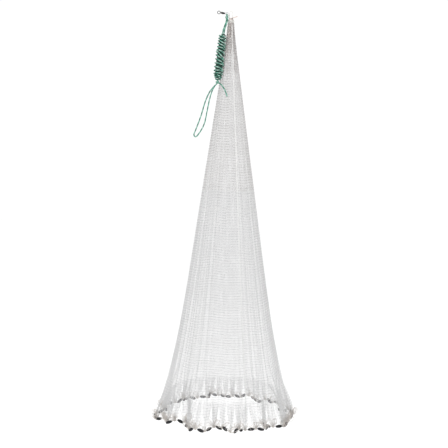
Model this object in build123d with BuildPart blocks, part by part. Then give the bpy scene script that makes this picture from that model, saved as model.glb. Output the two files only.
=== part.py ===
from build123d import *
import os
from math import cos, exp, hypot, pi, radians, sin, tan

os.makedirs("parts", exist_ok=True)

# A throw net hung up by its head loop.  Millimetres, +Z up.  The origin is where the loop
# bears on its peg, +X is to the right as the net is seen from the front, and -Y is the front.

# ---- driving dimensions ----
NET_HEIGHT = 1700.0  # from the peg to the foot of the netting
NECK_RADIUS = 11.0  # bunched meshes at the head
CONE_SPREAD = 245.0  # how far the hanging cone opens over its height
HEM_FLARE = 38.0  # extra kick of the weighted hem
NET_WALL = 1.5  # netting, pleats included, as a thin wall

HEAD_Z = -30.0  # top of the netting
HEAD_PLUG = 26.0  # length of the solid bunch of meshes under it
UPPER_JOIN_Z = -752.0
LOWER_JOIN_Z = -834.0
SKIRT_FOOT_Z = -1676.0
JOIN_HEIGHT = 4.0
JOIN_DEPTH = 1.2

SEAM_AZIMUTH = -70.0  # lacing seam, degrees round from +X
SEAM_WIDTH = 3.0
SEAM_DEPTH = 1.6
SEAM_STAND_OFF = 2.3  # clear of the joins it crosses

FOLD_TOP_Z = -1606.0  # upper edge of the turned-in pocket
FOLD_FOOT_Z = -1668.0
FOLD_TOP_RADIUS = 228.0
FOLD_FOOT_RADIUS = 254.0
TUCK_COUNT = 20  # strings that hold the pocket up
TUCK_RADIUS = 0.6
TUCK_TOP_Z = -1566.0
TUCK_CLEARANCE = 2.0

LEAD_COUNT = 52
LEAD_LENGTH = 27.0
LEAD_RADIUS = 6.4
LEAD_END_RADIUS = 3.0
LEAD_TIP = 27.0  # degrees that a lead is tipped up or down
LEAD_TIP_VARIES = 18.0
LEAD_SHIFT = 0.13  # share of the spacing that a lead stands off its even place
LEAD_YAW = 26.0  # degrees that a lead may stand across the hem
LEAD_REACH = 1.5  # degrees of hem to each side that a lead lies along
LEAD_BORE = 2.0  # bore radius
LEAD_LINE_RADIUS = 1.25
LEAD_END_GAP = 1.5  # from a lead's end to the line's next bend
HEM_RADIUS = 276.0
HEM_Z = -1711.0
HEM_STEPS = 2880  # short spans that the hem's length is measured by
HEM_SWAY = 5.0
HEM_SLOW_LIFT = 4.0
HEM_FAST_LIFT = 6.0
HEM_SAG = 8.0  # the sides hang lower than the front and back
PLEAT_COUNT = 12  # folds that the lead line runs in and out of
PLEAT_DEPTH = 20.0
PLEAT_START = 40.0
LEFT_NOTCH = (222.0, 60.0, 10.0, 16.0)  # azimuth, depth in, half width in degrees, lift
RIGHT_NOTCH = (-47.0, 34.0, 7.0, 8.0)

PEG_RADIUS = 5.0
LOOP_CORD_RADIUS = 1.6  # white cord of the head loop
WHIPPING_Z = -36.0
WHIPPING_HEIGHT = 14.0
WHIPPING_DEPTH = 1.6
TAIL_FOOT = (9.5, -1, -26)  # cut end of the seam's cord
TAIL_TIP = (27, -2, -20.5)
TAIL_RADIUS = 2.4

SWIVEL_CENTRE = Vector(-35, 0, -7)
SWIVEL_TILT = 8.0  # the net end lies higher than the rope end
BARREL_LENGTH = 18.0
BARREL_RADIUS = 4.2
BARREL_END_RADIUS = 2.5
CAVITY_LENGTH = 13.0
CAVITY_RADIUS = 2.7
SHANK_RADIUS = 1.0
SHANK_CLEARANCE = 0.05
HEAD_RADIUS = 2.2  # headed end of each eye, held inside the barrel
HEAD_LENGTH = 1.8
HEAD_PLAY = 0.2
EYE_RADIUS = 6.0
EYE_WIRE = 1.25
EYE_OFFSET = 16.7  # eye centre from the middle of the barrel

ROPE_RADIUS = 2.5
TIE_RADIUS = 1.0
HANK_TOP = Vector(-34, -17, -97)
HANK_FOOT = Vector(-52, -40, -297)
# distance down from the top of the hank, and its radius there
HANK_OUTLINE = [(0, 9), (12, 15), (55, 17.5), (105, 18), (140, 20), (165, 20.5), (188, 12), (200, 6)]
KNOT_RADIUS = 7.5
KNOT_DROP = 6.0  # from the foot of the hank to the middle of its knot
ROPE_TURN_RADIUS = 4.6  # middle of the rope's turn round the swivel's wire
EYE_KNOT_RADIUS = 6.0
EYE_KNOT_OFFSET = Vector(0, -2, -15.2)

# Routes that the cords follow, each point chosen where the cord bends.
HAND_ROPE_ROUTE = [
    (-18, -4, -27),
    (-20, -9, -43),
    (-25, -13, -59),
    (-31, -14, -74),
    (-33, -17, -88),
    (-34, -17, -99),
]
ROPE_RETURN_ROUTE = [
    (-14, -7, -27),
    (-15.5, -13, -42),
    (-20, -16, -58),
    (-25, -16, -74),
    (-27.5, -18, -88),
    (-29, -18, -99),
]
WRIST_LOOP_ROUTE = [
    (-53, -35, -306),
    (-66, -33, -318),
    (-84, -29, -339),
    (-97, -25, -366),
    (-108, -22, -398),
    (-117, -19, -434),
    (-130, -16, -470),
    (-141, -14, -500),
    (-147, -14, -513),
    (-149, -14, -523),
    (-144, -14, -531),
    (-135, -14, -526),
    (-125, -15, -512),
    (-114, -17, -495),
    (-103, -20, -470),
    (-97, -23, -437),
    (-91, -27, -405),
    (-85, -32, -375),
    (-77, -38, -345),
    (-66, -40, -320),
    (-53, -38, -305),
]
ROPE_TAIL_ROUTE = [
    (-51, -38, -304),
    (-40, -43, -309),
    (-30, -48, -320),
    (-21, -56, -336),
    (-15, -62, -351),
    (-11, -64, -364),
]
SWIVEL_TIE_ROUTE = [
    (-52, 1.8, 2.2),
    (-47, 8, 3),
    (-35, 12, 0),
    (-21, 12, -5),
    (-12, 8, -12),
    (-8, 4, -19),
    (-6.8, 1, -27),
]


swivel_direction = Vector(1, 0, 0).rotate(Axis.Y, SWIVEL_TILT)
swivel_axis = Axis(SWIVEL_CENTRE, swivel_direction)
swivel_section = Plane(SWIVEL_CENTRE, x_dir=swivel_direction, z_dir=(0, -1, 0))


# ---- shapes that several parts share ----
def net_radius(z):
    """Outer radius of the hanging net at height z."""
    t = -z / NET_HEIGHT
    return hypot(NECK_RADIUS, CONE_SPREAD * t) + HEM_FLARE * t**8


def notch(azimuth, place):
    """Share of a hem notch's depth at an azimuth: one in its middle, fading to nothing."""
    middle, depth, half_width, lift = place
    away = (azimuth - middle + 180) % 360 - 180
    return exp(-((away / half_width) ** 2))


def hem_point(azimuth):
    """A point on the course of the lead line, which weaves through the pleats of the hem."""
    left = notch(azimuth, LEFT_NOTCH)
    right = notch(azimuth, RIGHT_NOTCH)
    radius = HEM_RADIUS + PLEAT_DEPTH * sin(radians(PLEAT_COUNT * azimuth + PLEAT_START))
    radius += HEM_SWAY * sin(radians(5 * azimuth)) - LEFT_NOTCH[1] * left - RIGHT_NOTCH[1] * right
    height = HEM_Z + HEM_SLOW_LIFT * sin(radians(3 * azimuth)) + HEM_FAST_LIFT * sin(radians(11 * azimuth))
    height += LEFT_NOTCH[3] * left + RIGHT_NOTCH[3] * right - HEM_SAG * cos(radians(2 * azimuth))
    return Vector(radius * cos(radians(azimuth)), radius * sin(radians(azimuth)), height)


def hem_azimuths(count):
    """Azimuths of the leads, which stand a little off even places along the hem's course."""
    points = [hem_point(360 * i / HEM_STEPS) for i in range(HEM_STEPS + 1)]
    spans = [(b - a).length for a, b in zip(points, points[1:])]
    pitch = sum(spans) / count
    azimuths = []
    walked = 0.0
    for i, span in enumerate(spans):
        if walked >= pitch * (len(azimuths) + LEAD_SHIFT * sin(2.7 * len(azimuths))):
            azimuths.append(360 * i / HEM_STEPS)
        walked += span
    return azimuths[:count]


def lead_axis(index, azimuth):
    """Centre and direction of one lead: along the hem, unevenly tipped up or down, and turned a little."""
    tangent = (hem_point(azimuth + LEAD_REACH) - hem_point(azimuth - LEAD_REACH)).normalized()
    tangent = tangent.rotate(Axis.Z, LEAD_YAW * sin(1.7 * index + 1))
    tip = radians(LEAD_TIP * sin(2.4 * index) + LEAD_TIP_VARIES * sin(1.1 * index + 1))
    direction = tangent * cos(tip) + Vector(0, 0, 1) * sin(tip)
    return hem_point(azimuth), direction.normalized()


def corner_radii(route):
    """The largest arc that each corner's two runs leave room for."""
    radii = []
    for before, corner, after in zip(route, route[1:], route[2:]):
        run_in = Vector(*corner) - Vector(*before)
        run_out = Vector(*after) - Vector(*corner)
        turn = run_in.get_angle(run_out)
        radii.append(0.45 * min(run_in.length, run_out.length) / tan(radians(turn / 2)))
    return radii


def cord(route, cord_radius, name):
    """A round cord along straight runs joined by arcs."""
    radii = corner_radii(route)
    with BuildPart() as tube:
        with BuildLine() as path:
            FilletPolyline(*route, radius=radii)
        with BuildSketch(Plane(path.line @ 0, z_dir=path.line % 0)):
            Circle(cord_radius)
        sweep(path=path.line)
    length = sum(edge.length for edge in path.line.edges())
    ratio = tube.part.volume / (pi * cord_radius**2 * length)
    print(f"{name}: {length:.0f} mm, radii {min(radii):.0f} to {max(radii):.0f} mm, volume ratio {ratio:.3f}")
    return tube.part


def net_tier(top, foot, steps):
    """One tier of netting: a thin open cone that follows the net's outline."""
    heights = [top + (foot - top) * i / steps for i in range(steps + 1)]
    outer = [(net_radius(z), z) for z in heights]
    inner = [(net_radius(z) - NET_WALL, z) for z in heights]
    with BuildPart() as tier:
        with BuildSketch(Plane.XZ):
            with BuildLine():
                Spline(*outer)
                Line(outer[-1], inner[-1])
                Spline(*inner[::-1])
                Line(inner[0], outer[0])
            make_face()
        revolve(axis=Axis.Z)
    return tier.part


def tier_join(height):
    """The row of lacing that joins two tiers, as a low ring round the net."""
    inner = net_radius(height) + 0.4
    with BuildPart() as ring:
        with BuildSketch(Plane.XZ):
            with Locations((inner + JOIN_DEPTH / 2, height)):
                Rectangle(JOIN_DEPTH, JOIN_HEIGHT)
        revolve(axis=Axis.Z)
    return ring.part


def swivel_eye(side):
    """A wire eye with a headed shank; side is -1 for the net end and +1 for the rope end."""
    head_outer = CAVITY_LENGTH / 2 - HEAD_PLAY
    shank = EYE_OFFSET - EYE_RADIUS
    with BuildPart() as eye:
        with BuildSketch(swivel_section):
            with BuildLine():
                Polyline(
                    (side * (head_outer - HEAD_LENGTH), 0),
                    (side * (head_outer - HEAD_LENGTH), HEAD_RADIUS),
                    (side * head_outer, HEAD_RADIUS),
                    (side * head_outer, SHANK_RADIUS),
                    (side * shank, SHANK_RADIUS),
                    (side * shank, 0),
                    close=True,
                )
            make_face()
        revolve(axis=swivel_axis)
        with Locations(Plane(SWIVEL_CENTRE + swivel_direction * side * EYE_OFFSET, z_dir=(0, 1, 0))):
            Torus(EYE_RADIUS, EYE_WIRE)
    return eye.part


def save(part, label):
    """Name one finished piece and write it."""
    part.label = label
    export_step(part, f"parts/{label}.step")


# ---- netting ----
with BuildPart() as net_crown:
    add(net_tier(HEAD_Z, UPPER_JOIN_Z + 0.3, 10))
    # the meshes at the head are bunched solid
    with BuildSketch(Plane.XY.offset(HEAD_Z - HEAD_PLUG)):
        Circle(NECK_RADIUS - 0.5)
    extrude(amount=HEAD_PLUG)
save(net_crown.part, "net_crown")
save(net_tier(UPPER_JOIN_Z - 0.3, LOWER_JOIN_Z + 0.3, 2), "net_band")
save(net_tier(LOWER_JOIN_Z - 0.3, SKIRT_FOOT_Z, 14), "net_skirt")
save(tier_join(UPPER_JOIN_Z), "upper_join")
save(tier_join(LOWER_JOIN_Z), "lower_join")

seam_heights = [-60 - 100 * i for i in range(16)]
seam_inner = [(net_radius(z) + SEAM_STAND_OFF, z) for z in seam_heights]
seam_outer = [(r + SEAM_DEPTH, z) for r, z in seam_inner]
with BuildPart() as side_seam:
    with BuildSketch(Plane.XZ.rotated((0, 0, SEAM_AZIMUTH))):
        with BuildLine():
            Spline(*seam_inner)
            Line(seam_inner[-1], seam_outer[-1])
            Spline(*seam_outer[::-1])
            Line(seam_outer[0], seam_inner[0])
        make_face()
    extrude(amount=SEAM_WIDTH / 2, both=True)
save(side_seam.part, "side_seam")

# The foot of the netting is turned in and held up by strings, which makes the pocket.
with BuildPart() as pocket_fold:
    with BuildSketch(Plane.XZ):
        with BuildLine():
            Polyline(
                (FOLD_TOP_RADIUS, FOLD_TOP_Z),
                (FOLD_FOOT_RADIUS, FOLD_FOOT_Z),
                (FOLD_FOOT_RADIUS - NET_WALL, FOLD_FOOT_Z),
                (FOLD_TOP_RADIUS - NET_WALL, FOLD_TOP_Z),
                close=True,
            )
        make_face()
    revolve(axis=Axis.Z)
save(pocket_fold.part, "pocket_fold")

tuck_foot = Vector(FOLD_TOP_RADIUS - NET_WALL / 2, 0, FOLD_TOP_Z + 0.5)
tuck_top = Vector(net_radius(TUCK_TOP_Z) - NET_WALL - TUCK_CLEARANCE, 0, TUCK_TOP_Z)
with BuildPart() as tuck_strings:
    for azimuth in range(0, 360, 360 // TUCK_COUNT):
        foot = tuck_foot.rotate(Axis.Z, azimuth)
        top = tuck_top.rotate(Axis.Z, azimuth)
        with BuildSketch(Plane(foot, z_dir=top - foot)):
            Circle(TUCK_RADIUS)
        extrude(amount=(top - foot).length)
save(tuck_strings.part, "tuck_strings")

# ---- leads and lead line ----
with BuildPart() as lead:
    with BuildSketch(Plane.XY):
        with BuildLine():
            lead_end = (LEAD_LENGTH / 2, LEAD_END_RADIUS)
            ThreePointArc((-LEAD_LENGTH / 2, LEAD_END_RADIUS), (0, LEAD_RADIUS), lead_end)
            Polyline(
                lead_end,
                (LEAD_LENGTH / 2, LEAD_BORE),
                (-LEAD_LENGTH / 2, LEAD_BORE),
                (-LEAD_LENGTH / 2, LEAD_END_RADIUS),
            )
        make_face()
    revolve(axis=Axis.X)

lead_places = [lead_axis(i, azimuth) for i, azimuth in enumerate(hem_azimuths(LEAD_COUNT))]
side_names = ["right", "back_right", "back", "back_left", "left", "front_left", "front", "front_right"]
for number, side in enumerate(side_names):
    # each eighth of the hem, counted round from +X
    eighth = lead_places[number * LEAD_COUNT // 8 : (number + 1) * LEAD_COUNT // 8]
    with BuildPart() as leads:
        for centre, direction in eighth:
            with Locations(Plane(centre, x_dir=direction, z_dir=direction.cross(Vector(0, 0, 1)))):
                add(lead.part)
    save(leads.part, f"leads_{side}")

# The line runs straight through each lead; its two ends meet inside the first one.
line_route = []
for centre, direction in lead_places:
    line_route.append(tuple(centre - direction * (LEAD_LENGTH / 2 + LEAD_END_GAP)))
    line_route.append(tuple(centre + direction * (LEAD_LENGTH / 2 + LEAD_END_GAP)))
first_centre, first_direction = lead_places[0]
line_start = tuple(first_centre + first_direction * LEAD_LINE_RADIUS)
line_end = tuple(first_centre - first_direction * LEAD_LINE_RADIUS)
save(cord([line_start, *line_route[1:], line_route[0], line_end], LEAD_LINE_RADIUS, "lead_line"), "lead_line")

# ---- head ----
loop_radius = PEG_RADIUS + LOOP_CORD_RADIUS
with BuildPart() as head_loop:
    with BuildLine() as loop_path:
        Polyline((-loop_radius, 0, HEAD_Z - 12), (-loop_radius, 0, -PEG_RADIUS))
        ThreePointArc((-loop_radius, 0, -PEG_RADIUS), (0, 0, LOOP_CORD_RADIUS), (loop_radius, 0, -PEG_RADIUS))
        Polyline((loop_radius, 0, -PEG_RADIUS), (loop_radius, 0, HEAD_Z - 12))
    with BuildSketch(Plane((-loop_radius, 0, HEAD_Z - 12), z_dir=(0, 0, 1))):
        Circle(LOOP_CORD_RADIUS)
    sweep(path=loop_path.line)
save(head_loop.part, "head_loop")

whipping_inner = net_radius(WHIPPING_Z - WHIPPING_HEIGHT) + 0.1
with BuildPart() as head_whipping:
    with BuildSketch(Plane.XZ):
        with Locations((whipping_inner + WHIPPING_DEPTH / 2, WHIPPING_Z - WHIPPING_HEIGHT / 2)):
            RectangleRounded(WHIPPING_DEPTH, WHIPPING_HEIGHT, 0.6)
    revolve(axis=Axis.Z)
save(head_whipping.part, "head_whipping")

# The seam's cord ends in a short cut tail that stands out at the head.
tail_foot = Vector(*TAIL_FOOT)
tail_tip = Vector(*TAIL_TIP)
with BuildPart() as seam_tail:
    with BuildSketch(Plane(tail_foot, z_dir=tail_tip - tail_foot)):
        Circle(TAIL_RADIUS)
    extrude(amount=(tail_tip - tail_foot).length)
    fillet(seam_tail.edges().filter_by(GeomType.CIRCLE), 0.8)
save(seam_tail.part, "seam_tail")

# ---- barrel swivel ----
bore = SHANK_RADIUS + SHANK_CLEARANCE
with BuildPart() as swivel_barrel:
    with BuildSketch(swivel_section):
        with BuildLine():
            barrel_end = (BARREL_LENGTH / 2, BARREL_END_RADIUS)
            ThreePointArc((-BARREL_LENGTH / 2, BARREL_END_RADIUS), (0, BARREL_RADIUS), barrel_end)
            Polyline(
                barrel_end,
                (BARREL_LENGTH / 2, bore),
                (CAVITY_LENGTH / 2, bore),
                (CAVITY_LENGTH / 2, CAVITY_RADIUS),
                (-CAVITY_LENGTH / 2, CAVITY_RADIUS),
                (-CAVITY_LENGTH / 2, bore),
                (-BARREL_LENGTH / 2, bore),
                (-BARREL_LENGTH / 2, BARREL_END_RADIUS),
            )
        make_face()
    revolve(axis=swivel_axis)
save(swivel_barrel.part, "swivel_barrel")
save(swivel_eye(-1), "swivel_net_eye")
save(swivel_eye(1), "swivel_rope_eye")
save(cord(SWIVEL_TIE_ROUTE, TIE_RADIUS, "swivel_tie"), "swivel_tie")

# ---- hand rope ----
rope_eye_centre = SWIVEL_CENTRE + swivel_direction * EYE_OFFSET
with BuildPart() as eye_knot:
    # the rope's turn round the lowest point of the eye, and the knot under it
    with Locations(Plane(rope_eye_centre - Vector(0, 0, EYE_RADIUS), z_dir=(1, 0, 0))):
        Torus(ROPE_TURN_RADIUS, ROPE_RADIUS)
    with Locations(rope_eye_centre + EYE_KNOT_OFFSET):
        Sphere(EYE_KNOT_RADIUS)
save(eye_knot.part, "eye_knot")
save(cord(HAND_ROPE_ROUTE, ROPE_RADIUS, "hand_rope"), "hand_rope")
save(cord(ROPE_RETURN_ROUTE, ROPE_RADIUS, "rope_return"), "rope_return")

hank_direction = (HANK_FOOT - HANK_TOP).normalized()
hank_axis = Axis(HANK_TOP, hank_direction)
with BuildPart() as rope_hank:
    with BuildSketch(Plane(HANK_TOP, x_dir=hank_direction, z_dir=hank_direction.cross(Vector(1, 0, 0)))):
        with BuildLine():
            Spline(*HANK_OUTLINE)
            Polyline(HANK_OUTLINE[-1], (HANK_OUTLINE[-1][0], 0), (0, 0), HANK_OUTLINE[0])
        make_face()
    revolve(axis=hank_axis)
save(rope_hank.part, "rope_hank")

with BuildPart() as hank_knot:
    with Locations(HANK_FOOT + hank_direction * KNOT_DROP):
        Sphere(KNOT_RADIUS)
save(hank_knot.part, "hank_knot")
save(cord(WRIST_LOOP_ROUTE, ROPE_RADIUS, "wrist_loop"), "wrist_loop")
save(cord(ROPE_TAIL_ROUTE, ROPE_RADIUS, "rope_tail"), "rope_tail")
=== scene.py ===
import math

import bpy
import numpy as np
from mathutils import Matrix, Vector


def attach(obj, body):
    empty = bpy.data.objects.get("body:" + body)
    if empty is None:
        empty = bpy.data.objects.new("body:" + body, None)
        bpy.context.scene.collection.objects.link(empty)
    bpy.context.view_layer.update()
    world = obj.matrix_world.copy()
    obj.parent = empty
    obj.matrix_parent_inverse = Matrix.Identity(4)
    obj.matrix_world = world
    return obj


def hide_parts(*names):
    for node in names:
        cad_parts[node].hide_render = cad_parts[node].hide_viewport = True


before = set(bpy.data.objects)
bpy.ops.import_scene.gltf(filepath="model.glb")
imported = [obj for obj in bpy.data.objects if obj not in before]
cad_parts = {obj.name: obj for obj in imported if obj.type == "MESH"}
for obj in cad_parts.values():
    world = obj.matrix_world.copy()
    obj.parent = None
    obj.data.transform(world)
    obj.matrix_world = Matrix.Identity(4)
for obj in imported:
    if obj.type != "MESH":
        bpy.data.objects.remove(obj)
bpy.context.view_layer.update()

# A cast net hung up by its head loop.  Metres, +Z up, the front towards -Y, the origin at the peg.
TAU = 2 * math.pi
rng = np.random.default_rng(7)

# ---- camera: in front of the net, a little below its middle, looking along +Y ----
CAMERA_PLACE = (-0.0148, -3.36, -0.760)
CAMERA_LENS = 63.4
CAMERA_LOOKS_DOWN = 2.33  # degrees
CAMERA_ROLL = 0.99  # degrees

# ---- the net's outline and its leads, as the CAD has them; leads and notches have angles in degrees ----
NET_HEIGHT = 1.700
NECK_RADIUS = 0.011
CONE_SPREAD = 0.245
HEM_FLARE = 0.038
UPPER_JOIN_Z = -0.752
LOWER_JOIN_Z = -0.834
SKIRT_FOOT_Z = -1.676
SEAM_AZIMUTH = math.radians(-70)
LEAD_COUNT = 52
LEAD_LENGTH = 0.027
LEAD_END_GAP = 0.0015
LEAD_TIP = 27.0
LEAD_TIP_VARIES = 18.0
LEAD_SHIFT = 0.13
LEAD_YAW = 26.0
LEAD_REACH = 1.5
LINE_END_GAP = 0.00125  # the lead line's two ends stop this far from the middle of the first lead
HEM_RADIUS = 0.276
HEM_Z = -1.711
HEM_STEPS = 2880
HEM_SWAY = 0.005
HEM_SLOW_LIFT = 0.004
HEM_FAST_LIFT = 0.006
HEM_SAG = 0.008
PLEAT_COUNT = 12
PLEAT_DEPTH = 0.020
PLEAT_START = 40.0
LEFT_NOTCH = (222.0, 0.060, 10.0, 0.016)  # azimuth, depth, half width, lift
RIGHT_NOTCH = (-47.0, 0.034, 7.0, 0.008)
FLOOR_Z = -2.05

# ---- netting ----
BAR = 0.011  # from one row of knots to the next
NETTING_TOP_Z = -0.034
MESHES_PER_METRE = 340  # meshes round, for each metre of distance from the head
MESHES_AT_HEAD = 26
ROWS_PER_INCREASE = 8
BAND_ROWS = 7
BAND_EXTRA_MESHES = 12
HEAD_ROWS = 28  # the rows nearest the head have a twine of their own
HEAD_TWINE = 0.00027
CROWN_TWINE = 0.00026
BAND_TWINE = 0.00030
SKIRT_TWINES = (0.00028, 0.00026, 0.00023, 0.00021)  # from the lower join down to the hem
TIE_TWINE = 0.00023
KNOT_WIDTH = 0.0021
KNOT_HEIGHT = 0.0008
KNOT_SCATTER = 0.00015
SKIRT_SCATTER = 0.0002
HEM_BLEND_HEIGHT = 0.15  # the netting takes on the hem's outline over this height
GATHER_HEIGHT = 0.085  # it draws together between the leads over this height
GATHER_SHARE = 0.30
FOLD_DEPTH = 0.034  # a share of the radius
FOLD_DRAW = 0.5  # the folds lie this far inside the plain outline, in folds
FOLD_WAVES = [  # waves round the net, size, phase
    (7, 0.45, 0.3),
    (13, 0.5, 1.9),
    (19, 0.55, 4.1),
    (26, 0.5, 0.8),
    (37, 0.35, 2.7),
    (53, 0.2, 5.2),
]
SLOW_SWAY = 0.0030  # the rows of knots rise and fall by this
FAST_SWAY = 0.0022
SWAY_GROWS_OVER = 0.4

# ---- the turned-in pocket and its strings ----
FOLD_TOP_Z = -1.606
FOLD_TOP_RADIUS = 0.228
FOLD_FOOT_Z = -1.690
POCKET_INSET = 0.012
POCKET_MESHES = 400
POCKET_ROWS = 7
POCKET_TWINE = 0.00020
POCKET_SCATTER = 0.0006
POCKET_TIE_SCATTER = 0.0020
POCKET_FOLD_DEPTH = 0.02
POCKET_FOLD_LIFT = 0.006
STRING_TWINE = 0.0006
STRING_COUNT = 20
STRING_FOOT_RADIUS = 0.2272
STRING_TOP_Z = -1.566

# ---- lacing, and loose twine at the gaps between leads ----
SEAM_TOP_Z = -0.055
SEAM_FOOT_Z = -1.670
SEAM_STITCH = 0.0055
SEAM_HALF_WIDTH = 0.0021
RING_POINTS = 601
RING_ZIGZAG = 0.0016
TIE_SCATTER = 0.0022
LOOP_TWINE = 0.0006
SIDE_LOOP_TWINE = 0.0005
SIDE_LOOPS = 5
SIDES_FROM = 0.8  # of the way out to the left or right
DRAWN_TWINE = 0.00030
TUFT_TWINE = 0.00050
LASHING_TWINE = 0.0007
LASHING_RADIUS = 0.0036
LASHING_COUNT = 4
BACK_FROM_Y = 0.05  # behind this the back's share of draws and tufts is shown
BACK_SHARE = 0.4

# ---- head ----
NECK_STRANDS = 140
NECK_TWINE = 0.00045
NECK_REACH = 0.0108
NECK_FOOT_Z = -0.05  # the strands draw together above this
NECK_DRAW_HEIGHT = 0.024
NECK_DRAW = 0.38
STRAND_TOP_Z = (-0.032, -0.026)
STRAND_FOOT_Z = -0.085
STRAND_LENGTH_VARIES = 0.22
STRAND_SWAY = 0.0016
WHIPPING_TURNS = 6.5
WHIPPING_POINTS = 156
WHIPPING_RADIUS = 0.0129
WHIPPING_TOP_Z = -0.0372
WHIPPING_HEIGHT = 0.0118

# ---- rope ----
ROPE_RADIUS = 0.0025
BRAID_PITCH = 0.024
YARN_SHARE = 0.46  # these three are shares of the rope's radius
YARN_REACH = 0.68
YARN_WEAVE = 0.11
HANK_STEP = 0.0017  # from one ring of a tube's points to the next
ROPE_STEP = 0.0012
LINE_STEP = 0.0016
CORD_STEP = 0.0010
EYE_KNOT_RADIUS = 0.0023
EYE_KNOT_BEND = 0.0046
HAND_ROPE_ROUTE = [
    (-0.018, -0.004, -0.027),
    (-0.020, -0.009, -0.043),
    (-0.025, -0.013, -0.059),
    (-0.031, -0.014, -0.074),
    (-0.033, -0.017, -0.088),
]
ROPE_RETURN_ROUTE = [
    (-0.014, -0.007, -0.027),
    (-0.0155, -0.013, -0.042),
    (-0.020, -0.016, -0.058),
    (-0.025, -0.016, -0.074),
    (-0.0275, -0.018, -0.088),
    (-0.029, -0.018, -0.099),
]
WRIST_LOOP_ROUTE = [
    (-0.053, -0.035, -0.306),
    (-0.066, -0.033, -0.318),
    (-0.084, -0.029, -0.339),
    (-0.097, -0.025, -0.366),
    (-0.108, -0.022, -0.398),
    (-0.117, -0.019, -0.434),
    (-0.130, -0.016, -0.470),
    (-0.141, -0.014, -0.500),
    (-0.147, -0.014, -0.513),
    (-0.149, -0.014, -0.523),
    (-0.144, -0.014, -0.531),
    (-0.135, -0.014, -0.526),
    (-0.125, -0.015, -0.512),
    (-0.114, -0.017, -0.495),
    (-0.103, -0.020, -0.470),
    (-0.097, -0.023, -0.437),
    (-0.091, -0.027, -0.405),
    (-0.085, -0.032, -0.375),
    (-0.077, -0.038, -0.345),
    (-0.066, -0.040, -0.320),
    (-0.053, -0.038, -0.305),
]
ROPE_TAIL_ROUTE = [
    (-0.051, -0.038, -0.304),
    (-0.040, -0.043, -0.309),
    (-0.030, -0.048, -0.320),
    (-0.021, -0.056, -0.336),
    (-0.015, -0.062, -0.351),
    (-0.011, -0.064, -0.364),
]
SWIVEL_TIE_ROUTE = [
    (-0.052, 0.0018, 0.0022),
    (-0.047, 0.008, 0.003),
    (-0.035, 0.012, 0.000),
    (-0.021, 0.012, -0.005),
    (-0.012, 0.008, -0.012),
    (-0.008, 0.004, -0.019),
    (-0.0068, 0.001, -0.027),
]
HEAD_LOOP_SIDE = [
    (0.0066, 0, -0.042),
    (0.0066, 0, -0.030),
    (0.0067, 0, -0.018),
    (0.0066, 0, -0.008),
    (0.0062, 0, -0.001),
    (0.0030, 0, 0.0022),
]
SEAM_END_ROUTE = [
    (0.0085, -0.001, -0.0262),
    (0.015, -0.0014, -0.0250),
    (0.021, -0.0018, -0.0220),
    (0.027, -0.002, -0.0205),
]
EYE_CENTRE = Vector((-0.01846, 0, -0.00932))
EYE_RADIUS = 0.0060

# ---- the hank: depths are measured down from its top, radii out from its middle ----
HANK_TOP = Vector((-0.034, -0.017, -0.097))
HANK_FOOT = Vector((-0.052, -0.040, -0.297))
HANK_DOWN = (HANK_FOOT - HANK_TOP).normalized()
HANK_RIGHT = (Vector((1, 0, 0)) - HANK_DOWN * HANK_DOWN.x).normalized()
HANK_FRONT = HANK_DOWN.cross(HANK_RIGHT)
HANK_OUTLINE = [  # depth and radius, in millimetres
    (0, 10),
    (12, 15),
    (55, 18),
    (95, 19.5),
    (140, 20.5),
    (170, 20.5),
    (193, 12.5),
    (206, 5),
]
HANK_BOW = 0.004  # its middle bows forward by this
HANK_SIDE_BOW = 0.0005
HANK_BOW_LENGTH = 0.2
CORE_TOP = 0.006  # the run down the middle
CORE_FOOT = 0.150
CORE_POINTS = 27
CORE_RADIUS = 0.0031
OPENING_DEPTH = 0.036  # the turn in which the run opens out
OPENING_GROWTH = 0.0054
CLOSE_TURNS = 29
CLOSE_STEPS = 12  # points to a turn
CLOSE_FOOT = 0.186
CLOSE_TOP = 0.011
CLOSE_INSET = 0.0080
CLOSE_LEAST_RADIUS = 0.0085
RISE_TO_LOOSE = 0.008  # the half turn from the close turns out to the loose ones
GROWTH_TO_LOOSE = 0.0013
LOOSE_TURNS = 15.5
LOOSE_STEPS = 16
LOOSE_INSET = 0.0014
LOOSE_COURSE = [(0, 0.003), (2, 0.028), (11.5, 0.160), (13, 0.176), (16, 0.199)]  # turns made, depth
WOBBLES = 19
WOBBLE_ENDS = 16  # turns
WOBBLE_DEPTH = 0.0028
WOBBLE_RADIUS = 0.0012
WOBBLE_LEAN = 0.22
MIDDLE_LEAN = 0.72  # the turns lean most about the hank's middle
MIDDLE_LEAN_WOBBLE = 0.40
LEAN_DEPTH = 0.088
LEAN_SPREAD = 0.052
FOOT_TURN = 13  # from this loose turn on the foot's colours are used
CROSSING_TOP = 0.195  # the last turn crosses in front, down to the knot
CROSSING_DEPTH = 0.014
CROSSING_STEPS = 10
CROSSING_END_RADIUS = 0.001

# which of the four yarn colours each of the braid's eight yarns has
OUTER_YARNS = (0, 2, 1, 3, 2, 3, 1, 2)
# the loose turns have one more white yarn and one more dark green yarn than the rest of the rope: a painted
# highlight and a painted shade over the rope's own green and white
LOOSE_HIGHLIGHT_AND_SHADE_YARNS = (0, 3, 0, 3, 2, 2, 1, 3)
FOOT_YARNS = (2, 3, 1, 3, 3, 2, 3, 0)
# the hidden inner turns are all dark green: a painted shade
INNER_SHADE_YARNS = (3, 3, 3, 3, 3, 3, 3, 3)


def make_camera():
    data = bpy.data.cameras.new("camera")
    data.lens = CAMERA_LENS
    camera = bpy.data.objects.new("camera", data)
    pitch = Matrix.Rotation(math.radians(90 - CAMERA_LOOKS_DOWN), 4, "X")
    roll = Matrix.Rotation(math.radians(CAMERA_ROLL), 4, "Z")
    camera.matrix_world = Matrix.Translation(CAMERA_PLACE) @ pitch @ roll
    bpy.context.scene.collection.objects.link(camera)
    bpy.context.scene.camera = camera


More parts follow.
